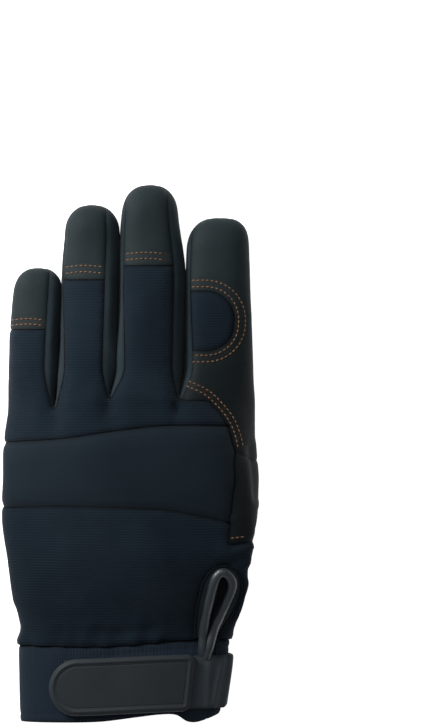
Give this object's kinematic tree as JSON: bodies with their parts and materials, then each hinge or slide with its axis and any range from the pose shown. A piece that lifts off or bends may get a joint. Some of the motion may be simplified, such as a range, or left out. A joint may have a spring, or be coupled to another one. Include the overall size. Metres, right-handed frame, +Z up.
{
  "type": "mechanic glove",
  "caption": "Left-hand mechanic glove lying palm down, thumb folded beneath, with sewn panels, padded knuckle band, wrist vent and strap closure.",
  "frame": {"origin": "centre of the glove's outline in plan, on the surface that it lies on", "axes": "+Y from the cuff to the fingertips, +X to the thumb side, +Z up out of the back of the hand"},
  "size_m": [0.114, 0.2398, 0.0374],
  "materials": {
    "knit": "fine ribbed stretch knit, near black with a blue cast",
    "neoprene": "smooth padded stretch cloth, near black",
    "leather": "thin soft synthetic leather, charcoal, matt",
    "palm": "sueded synthetic leather, near black",
    "side_wall": "smooth stretch cloth, charcoal",
    "webbing": "elastic webbing with fine ribs, dark navy",
    "strap": "smooth strap with folds, charcoal",
    "tab": "moulded soft rubber, matt charcoal",
    "binding": "rolled glossy binding, near black"
  },
  "bodies": {
    "root": {"back_panel_upper": "knit", "knuckle_band": "neoprene", "back_panel_lower": "knit", "tip_cap_little": "leather", "tip_cap_ring": "leather", "tip_cap_middle": "leather", "index_overlay": "leather", "index_window": "knit", "side_wall_little_ring": "side_wall", "side_wall_ring_middle": "side_wall", "side_wall_middle_index": "side_wall", "palm_panel": "palm", "thumb_crotch_strip": "leather", "thumb_back": "knit", "thumb_pad": "palm", "thumb_base_patch": "leather", "cuff_band": "webbing", "closure_strap": "strap", "strap_tab": "tab", "vent_facing": "side_wall", "vent_binding": "binding"}
  },
  "joints": []
}
